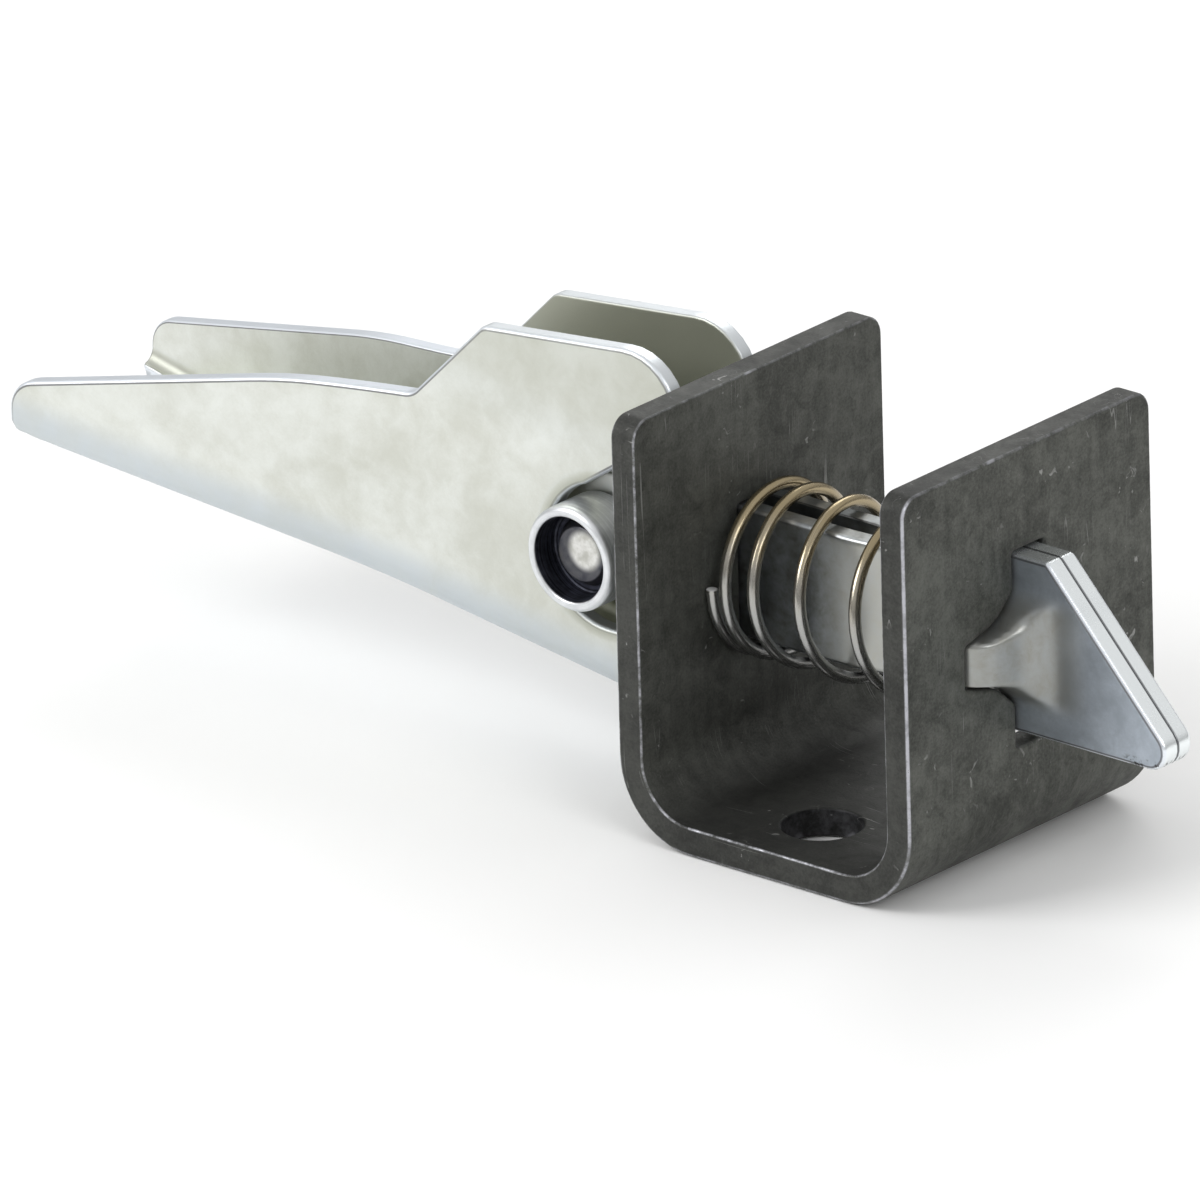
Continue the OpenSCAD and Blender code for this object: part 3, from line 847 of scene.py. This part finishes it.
# bright dots on the outer rims: partly rubbed bare steel, partly painted highlight
rubbed_and_glint = rim * (blank.noise(2.6, 5, 0.75).ramp(0.34, 0.72) * (0.35 + 0.65 * side_edge) + dents + corner)
middle = along - STRIP / 2
# painted shade: a bolt hole's wall goes near black
hole_wall_shade = (middle ** 2 + (abs(across) - HOLE_Y) ** 2).ramp(*HOLE_SHADE_FADE)
floor_part = abs(middle).ramp(BASE / 2 + TURN, BASE / 2)
# painted shade on the channel's inner face, strongest on the base
inner_shade = depth.ramp(0.5, 0.1) * (0.05 + 0.6 * floor_part)
sawn = edge.ramp(0.85, 1.0) * 0.55
print("nodes of the masks:", len(scale_steel.node_tree.nodes))

# %% Bracket material
clouds = blank.noise(24, 5, 0.6)
patches = blank.noise(4, 5, 0.65, 0.8)
grain = blank.noise(0.45, 3, 0.7)
streaks = blank.stretch(0.08, 1, 1).noise(2.2, 4, 0.6)
line = blank.stretch(0.035, 1, 1).noise(2.2, 1, 0.3, 0.4)
scratches = line.math("COMPARE", line, 0.5, 0.004) * blank.noise(11, 2).ramp(0.54, 0.66)
specks = blank.noise(2.0, 2, 0.5, 1.0).ramp(0.67, 0.74) * blank.noise(15, 2).ramp(0.5, 0.66)
tone = (clouds * 0.38 + patches * 0.34 + streaks * 0.16 + grain * 0.32).ramp(0.40, 0.80)
scale = tone.mix(SCALE_DARK, SCALE_PALE)
# the skin takes the painted shade of the holes and the inner face, and the darker sawn sides
skin = hole_wall_shade.mix(sawn.larger(inner_shade).mix(scale, grey(0.016)), grey(0.006))
marked = (scratches * 0.45 + specks * 0.6).mix(skin, grey(0.40, 0.02))
finish(grain * 0.5 + patches * 0.6 - specks, 0.06, {
    "Base Color": rubbed_and_glint.mix(marked, grey(0.48, -0.06)),
    "Metallic": 0.5,
    "Roughness": 0.58 - 0.12 * tone - 0.2 * rubbed_and_glint + 0.10 * grain})
dress(scale_steel, bracket)

# %% [markdown]
# ## Zinc on sheet
#
# The handle and the bolt are zinc plated. Fresh zinc is cloudy, with blots where it is
# thicker. Its sheared edges are bluish white, with a fine dark line where the shears dragged
# the face down, and each rim gets a painted highlight. Each piece could have a material of
# its own, but most of it would be written twice, so one function makes both: what differs
# comes in as colours, as a mask on the blank and as a rule for nicks.

# %% Zinc
CREST = (0.84, 0.88, 0.93, 1)       # painted highlight where an edge catches the light
DRAGGED, NICK = grey(0.16, -0.05), grey(0.06)


def zinc(name, dull, bright, sheared, rough, cloud, patch, nicked):
    """Plated sheet. From the blank, patch gives a mask and its tint, and nicked where nicks are."""
    material, blank, edge = start(name)
    clouds = blank.noise(cloud, 4, 0.6, 0.5)
    blots = blank.noise(cloud / 5, 4, 0.65, 0.3)
    grain = blank.noise(0.4, 2, 0.6)
    tone = (clouds * 0.55 + blots * 0.35 + grain * 0.1).ramp(0.32, 0.68)
    mask, tint = patch(blank, blots)
    skin = mask.mix(tone.mix(dull, bright), tint)
    bare = 1 - 0.8 * mask
    cut = edge.ramp(0.35, 0.8) * bare
    drag = edge.ramp(0.04, 0.16) * edge.ramp(0.6, 0.36) * bare
    # painted highlight along each rim
    crest_highlight = edge.ramp(0.3, 0.6) * edge.ramp(0.99, 0.86) * bare
    shorn = crest_highlight.mix(cut.mix(skin, sheared), CREST)
    edged = (drag * 0.85).mix(shorn, DRAGGED)
    finish(grain * 0.3 + blots * 0.7, 0.03, {
        "Base Color": nicked(blank, edge).mix(edged, NICK),
        "Metallic": 0.85,
        "Roughness": rough + 0.16 * (clouds - 0.5) + 0.08 * (grain - 0.5) - 0.1 * cut})
    return material


print("a dragged edge is", np.round(DRAGGED, 2), "and a nick", np.round(NICK, 2))

# %% [markdown]
# ## The handle's zinc
#
# The handle has a faint yellow-green passivation. A bluish reflection is painted along the
# fold, and olive shade is painted inside the channel, in the inner bend and round the bush's
# mouth; the shoulder turns darker olive towards its top. These places could be painted on the
# mesh by hand, but a ramp along one of the blank's axes puts each at a known distance in
# millimetres.

# %% Handle material
# a painted olive shade, and a painted bluish reflection for the fold
SHADE_OLIVE, FOLD_REFLECTION = (0.40, 0.41, 0.34, 1), (0.56, 0.61, 0.65, 1)
MOUTH = to_web([(MOUTH_X, 0)])[0] + (0, UP - FLAT_Z)    # the mouth's centre on the blank
MOUTH_SHADE_FADE = (230, 150)                                  # squared radii of the painted shade round the mouth


def shade_and_reflection(blank, blots):
    """Where the handle gets painted olive shade or a painted bluish reflection, and the tint there."""
    length, across, depth = (blank.axis(letter) for letter in "XYZ")
    across = abs(across)
    # painted shade on the channel's inner face
    inside = depth.ramp(-1.1, -1.4) * length.ramp(-80, -30)
    # darker olive towards the shoulder's top
    shoulder = across.ramp(36, 56) * 0.4
    # painted shade in the inner bend
    corner = depth.ramp(-0.9, -1.3) * across.ramp(UP + 1.5, UP - 1) * 0.6
    # painted shade round the bush's mouth
    mouth_shade = ((length - MOUTH[0]) ** 2 + (across - MOUTH[1]) ** 2).ramp(*MOUTH_SHADE_FADE)
    olive_shade = (inside * 0.8 + shoulder + corner + mouth_shade * 0.7).ramp(0, 1)
    # painted bluish reflection on the outside of the fold and web
    fold_reflection = across.ramp(UP + 5, UP - 1) * depth.ramp(-1, 0) * (0.5 + 0.5 * blots)
    return olive_shade.larger(fold_reflection), olive_shade.ramp(0, 0.3).mix(FOLD_REFLECTION, SHADE_OLIVE)


def seldom(blank, edge):
    """A few nicks along the edges."""
    nicks = blank.noise(1.6, 3, 0.7).ramp(0.60, 0.68)
    return edge.ramp(0.2, 0.6) * nicks * blank.noise(30, 1).ramp(0.62, 0.7)


dress(zinc("zinc_sheet", dull=(0.61, 0.62, 0.56, 1), bright=(0.78, 0.80, 0.765, 1),
           sheared=(0.74, 0.78, 0.83, 1), rough=0.48, cloud=26, patch=shade_and_reflection, nicked=seldom), handle)

# %% [markdown]
# ## The bolt's zinc
#
# The bolt is barer and bluer than the handle, with chips at the tip of the nose, where it
# strikes the gate, and a dark seam between the plies. Its bar is dull, with painted shade
# along its long edges and inside the spring, and the ear gets painted shade too. The seam
# could be a gap in the mesh, but the plies touch, so it is a dark line on their inner rims.

# %% Bolt material
# the ear's tint, the bar's dark edges and the dark bar inside the spring are painted shade
BAR_DULL, EAR_SHADE = (0.47, 0.47, 0.43, 1), (0.29, 0.29, 0.265, 1)
BAR_EDGE_SHADE, BAR_SHADE_TINT = (0.16, 0.16, 0.13, 1), (0.115, 0.12, 0.11, 1)


def on_bar(blank, blots):
    """Where the bolt is dull or painted with shade, and the tint there."""
    length, height = blank.axis("X"), blank.axis("Y")
    off = abs(height - AXIS_Z)
    # painted shade on the ear and its root
    ear = length.ramp(45, 37) * off.ramp(10.5, 6.5)
    dull = ear.larger(length.ramp(31, 27)) * (0.55 + 0.65 * blots)
    # painted shade on the bar inside the spring
    bar_shade = length.ramp(2, -12) * length.ramp(-44, -30)
    plain = (ear * length.ramp(20, 24)).mix(BAR_DULL, EAR_SHADE)
    # painted shade on the bar's long edges
    plain = (off.ramp(9.6, 10.6) * length.ramp(25, 22)).mix(plain, BAR_EDGE_SHADE)
    return dull, bar_shade.mix(plain, BAR_SHADE_TINT)


def at_tip(blank, edge):
    """Chips at the nose's tip, and the seam between the plies."""
    length, height, depth = (blank.axis(letter) for letter in "XYZ")
    chips = blank.noise(1.3, 3, 0.7).ramp(0.5, 0.57) * length.ramp(50, 53) * height.ramp(25.2, 24.4)
    seam = depth.ramp(0.4, 0.15) * edge.ramp(0.3, 0.6) * 0.85
    return chips.larger(seam)


dress(zinc("zinc_bolt", dull=(0.43, 0.48, 0.54, 1), bright=(0.63, 0.69, 0.77, 1),
           sheared=(0.93, 0.97, 0.98, 1), rough=0.36, cloud=12, patch=on_bar, nicked=at_tip), *plies)

# %% [markdown]
# ## Zinc on turned pieces
#
# The bushes carry the fine rings of the lathe, so part of their texture runs on the section
# alone: radius and height, with no angle. A Wave texture makes rings too, but evenly, as no
# tool does. The recess is painted near black as shade, with old rings, and the turned corners
# get a painted highlight. The rivet's head was hammered over, so it has blows instead of
# rings, and painted shade round its rim, heavier to one side.

# %% Bush material
def section(blank):
    """Radius and height of a turned piece."""
    flat = blank.stretch(1, 0, 1)
    radius = blank.node("ShaderNodeVectorMath", {"operation": "LENGTH"}, {0: flat}, "Value")
    return radius, blank.axis("Y")


bush_zinc, blank, edge = start("zinc_bush")
radius, height = section(blank)
rings = radius.node("ShaderNodeCombineXYZ", None, {0: radius, 1: height}).noise(0.35, 3, 0.6)
blots = blank.noise(3, 4, 0.6)
mottle = (0.5 * rings + 0.5 * blots).ramp(0.35, 0.7)
# painted shade inside the recess: near black, with faint rings
recess = radius.ramp(RECESS_R + 0.25, RECESS_R + 0.05) * radius.ramp(BORE_R - 0.25, BORE_R + 0.05)
recess_shade = recess * height.ramp(BUSH_OUT - 0.1, BUSH_OUT - 0.4)
skin = mottle.mix((0.62, 0.64, 0.66, 1), (0.86, 0.88, 0.90, 1))
shade_black = mottle.mix((0.012, 0.012, 0.016, 1), (0.15, 0.16, 0.21, 1))
finish(rings + blots * 0.5, 0.05, {
    # painted highlight on the turned corners
    "Base Color": recess_shade.mix((edge * 0.6).mix(skin, grey(0.9, -0.02)), shade_black),
    "Metallic": 0.85,
    "Roughness": 0.26 + 0.16 * rings + 0.1 * recess_shade})
dress(bush_zinc, *bushes)

# %% Rivet material
LIT_CENTRE = (0.9, 0, -0.8)       # the lit patch inside the painted shade lies a little off the middle
hammered, blank, edge = start("zinc_rivet")
blows = blank.noise(2.4, 3, 0.6)
aside = blank.node("ShaderNodeVectorMath", {"operation": "SUBTRACT"}, {0: blank, 1: LIT_CENTRE})
# painted shade round the head's rim, heavier to one side
rim_shade = section(aside)[0].ramp(2.3, 3.8) * (0.75 + 0.4 * blows)
unshaded = blows.ramp(0.3, 0.7).mix(grey(0.50, 0.06), grey(0.82, 0.02))
finish(blows, 0.15, {
    "Base Color": rim_shade.mix(unshaded, grey(0.07, -0.15)),
    "Metallic": 0.8,
    "Roughness": 0.34 + 0.15 * blows})
dress(hammered, rivet)

# %% [markdown]
# ## Spring wire
#
# Drawn wire has fine lines along its length and a bronze colour from the oven that relieves
# it after winding. Here the bronze is painted on the upper part of each turn, and the rest is
# painted a paler grey for its highlights. An anisotropic shader could stand for the lines,
# but it shows none close up. The wire's own length is the blank's first axis, so stretching
# noise along it draws them. The cut ends are bare, and painted bright as a highlight.

# %% Spring material
BRONZE, HIGHLIGHT_GREY = (0.38, 0.31, 0.19, 1), (0.42, 0.42, 0.41, 1)
straw, blank, edge = start("spring_wire")
drawn = blank.stretch(0.04, 1, 1).noise(0.25, 3, 0.6)
stain = blank.noise(14, 3, 0.6)
length = blank.axis("X")
# painted light: the upper part of each turn bronze, the rest paler grey as a highlight
low = length.math("SINE", length * (1 / COIL_R))
tint = (low + stain).ramp(-0.5, 0.7).mix(BRONZE, HIGHLIGHT_GREY)
finish(drawn, 0.02, {
    # cut ends: bare metal, painted bright as a highlight
    "Base Color": (edge + drawn.ramp(0.62, 0.75) * 0.2).mix(tint, grey(0.85)),
    "Metallic": 0.95 - 0.6 * edge,
    "Roughness": 0.14 + 0.14 * drawn + 0.08 * stain + 0.3 * edge})
dress(straw, coil)

# %% [markdown]
# ## Floor
#
# The latch stands on a pale sheet of paper, far larger than the picture. A curved backdrop
# is the studio's way, but a flat sheet shows no bend from any side. It lies a hair under
# the bracket, so that the two surfaces don't flicker into each other.

# %% Floor
FLOOR_HALF, FLOOR_Z = 6, -0.0002    # in metres
floor_mesh = bpy.data.meshes.new("floor")
around = ((-1, -1), (1, -1), (1, 1), (-1, 1))
sheet_corners = [(x * FLOOR_HALF, y * FLOOR_HALF, FLOOR_Z) for x, y in around]
floor_mesh.from_pydata(sheet_corners, [], [(0, 1, 2, 3)])
floor = bpy.data.objects.new("floor", floor_mesh)
bpy.context.scene.collection.objects.link(floor)
paper = bpy.data.materials.new("pale_floor")
paper.use_nodes = True
paper.node_tree.nodes.clear()
place = Socket(paper.node_tree).node("ShaderNodeTexCoord", out="Object")
fibre = place.node("ShaderNodeTexNoise", None, {"Vector": place, "Scale": 9.0, "Detail": 4.0})
finish(fibre, 0.02, {"Base Color": fibre.mix((0.92, 0.92, 0.91, 1), (0.95, 0.95, 0.95, 1)),
                     "Roughness": 0.85 + 0.1 * fibre})
dress(paper, floor)

# %% [markdown]
# ## Light
#
# A catalogue photographer sets bright metal in a white tent, so that it has something pale
# to mirror. A studio picture round the scene could do that, but a plain gradient gives the
# same with no file: white above, darker towards the horizon. Three broad lamps then give the
# edges their shine and the floor its soft shadow.

# %% Light
def area_light(name, at, toward, size, power):
    """A square lamp that faces a point."""
    lamp = bpy.data.lights.new(name, "AREA")
    lamp.size, lamp.energy = size, power
    light = bpy.data.objects.new(name, lamp)
    light.location = at
    light.rotation_euler = (Vector(toward) - Vector(at)).to_track_quat("-Z", "Y").to_euler()
    bpy.context.scene.collection.objects.link(light)
    print(f"{name} light: {power} W")


area_light("key", (-0.7, -0.95, 0.85), (-0.05, 0, 0.03), size=0.7, power=9.5)
area_light("fill", (1.1, -0.4, 0.7), (0, 0, 0.04), size=0.6, power=4)
area_light("back", (-0.6, 1.0, 0.9), (0, 0, 0.04), size=0.7, power=4.5)
world = bpy.data.worlds.new("studio")
world.use_nodes = True
world.node_tree.nodes.clear()
way = Socket(world.node_tree).node("ShaderNodeTexCoord", out="Generated")
tent = way.axis("Z").ramp(0.02, 0.45).mix(grey(0.40), grey(1.0))
glow = tent.node("ShaderNodeBackground", None, {"Color": tent, "Strength": 0.72})
glow.node("ShaderNodeOutputWorld", None, {"Surface": glow}, out=None)
bpy.context.scene.world = world
bpy.context.scene.view_settings.view_transform = "Standard"

# %% [markdown]
# ## Camera
#
# The camera looks from the front and a little above, through a long lens, with a slight
# roll. It could be an orthographic camera, as lines that are parallel on the bracket stay
# so in the picture. From five metres away a long lens gives nearly the same. Its angles were
# fitted to the bracket's edges.

# %% Camera
AZIMUTH, ELEVATION, ROLL = (math.radians(d) for d in (41.10, 21.77, 1.605))
VIEW_MM, DISTANCE = 186.9, 5000.0                  # width of the view at the latch, and how far off
LOOKED_AT = np.array([-0.254, 0, 36.745])          # a point of the latch,
ASIDE, ABOVE = -44.11, 0.355                       # and the picture's middle from there
SENSOR = 36
level = np.array([math.cos(AZIMUTH), math.sin(AZIMUTH), 0])
back = np.array([math.sin(AZIMUTH) * math.cos(ELEVATION), -math.cos(AZIMUTH) * math.cos(ELEVATION),
                 math.sin(ELEVATION)])
upward = np.cross(back, level)
right = math.cos(ROLL) * level - math.sin(ROLL) * upward
upward = math.sin(ROLL) * level + math.cos(ROLL) * upward
eye = (LOOKED_AT + ASIDE * right + ABOVE * upward + back * DISTANCE) * MM
lens = bpy.data.cameras.new("camera")
lens.sensor_width, lens.lens = SENSOR, SENSOR * DISTANCE / VIEW_MM
lens.clip_start, lens.clip_end = 0.05, 20
camera = bpy.data.objects.new("camera", lens)
turned = [[right[i], upward[i], back[i], eye[i]] for i in range(3)]
camera.matrix_world = Matrix(turned + [[0, 0, 0, 1]])
bpy.context.scene.collection.objects.link(camera)
bpy.context.scene.camera = camera
print("camera at", np.round(eye, 2), f"with a lens of {lens.lens:.0f} mm")
